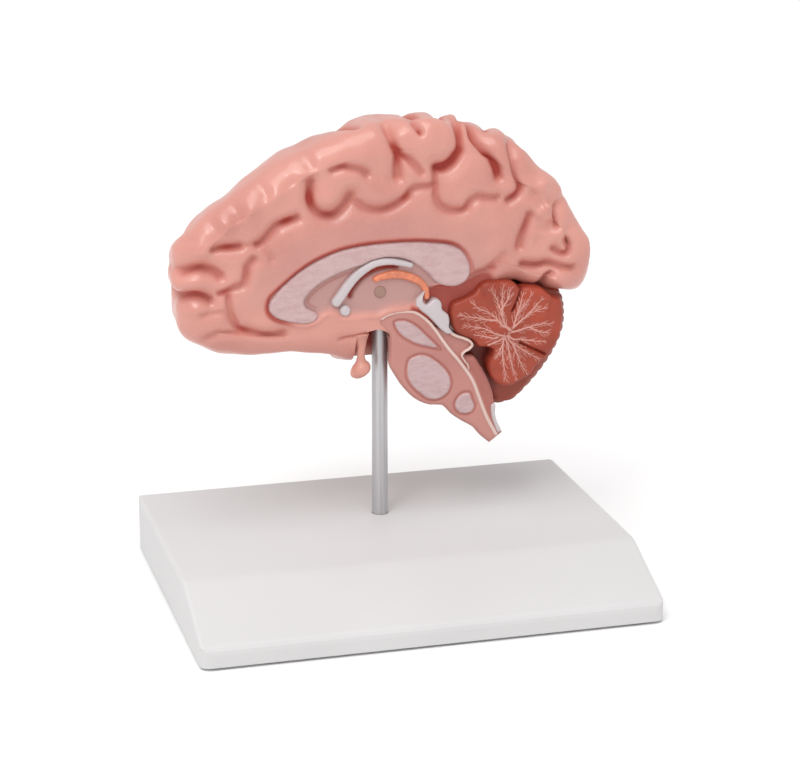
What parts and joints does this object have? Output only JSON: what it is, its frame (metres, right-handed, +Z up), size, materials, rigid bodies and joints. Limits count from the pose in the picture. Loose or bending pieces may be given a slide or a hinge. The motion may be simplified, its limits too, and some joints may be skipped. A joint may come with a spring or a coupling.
{
  "type": "half brain model on a stand",
  "caption": "Life-size right half of a brain, cut down the middle with its inner parts inlaid, that plugs on to a round rod standing in a desk-shaped base.",
  "frame": {"origin": "on the floor under the feet, in the middle of the whole object's footprint", "axes": "+X from the forehead to the back of the head, along the base's long side; +Y away from the viewer, so that the cut face looks towards -Y; +Z up, along the rod"},
  "size_m": [0.17, 0.1322, 0.173],
  "materials": {
    "base": "satin off-white moulding",
    "rubber": "matt dark rubber",
    "rod": "satin drawn rod",
    "fasteners": "plated",
    "bush": "natural nylon",
    "cortex": "glossy pink paint on a casting",
    "white_matter": "pale pink paint with fine dashes",
    "septum": "thin pink paint",
    "white": "white paint",
    "thalamus": "pale pink paint",
    "adhesion": "light brown paint",
    "plexus": "orange paint",
    "cerebellum": "red-brown paint",
    "vermis": "red-brown paint",
    "tree": "pale lines"
  },
  "bodies": {
    "stand": {"base_shell": "base", "rubber_foot_1": "rubber", "rubber_foot_2": "rubber", "rubber_foot_3": "rubber", "rubber_foot_4": "rubber"},
    "rod": {"support_rod": "rod", "rod_screw": "fasteners", "rod_washer": "fasteners"},
    "brain": {"socket_bush": "bush", "cerebral_hemisphere": "cortex", "corpus_callosum": "white_matter", "septum_pellucidum": "septum", "fornix": "white", "anterior_commissure": "white", "thalamus": "thalamus", "interthalamic_adhesion": "adhesion", "choroid_plexus": "plexus", "tectal_plate": "white", "brain_stem": "cortex", "midbrain_inlay": "white_matter", "pons_inlay": "white_matter", "medulla_inlay": "white_matter", "aqueduct_lining": "white", "fourth_ventricle_wall": "cortex", "medullary_velum": "white", "pituitary": "cortex", "cerebellum": "cerebellum", "vermis": "vermis", "arbor_vitae": "tree"}
  },
  "joints": [
    {"name": "rod_swivel", "type": "hinge", "parent": "stand", "child": "rod", "pos_m": [0.001, 0.01875, 0.021], "axis": [0, 0, 1], "continuous": true},
    {"name": "brain_lift", "type": "slide", "parent": "rod", "child": "brain", "axis": [0, 0, 1], "range_m": [0, 0.075]}
  ]
}
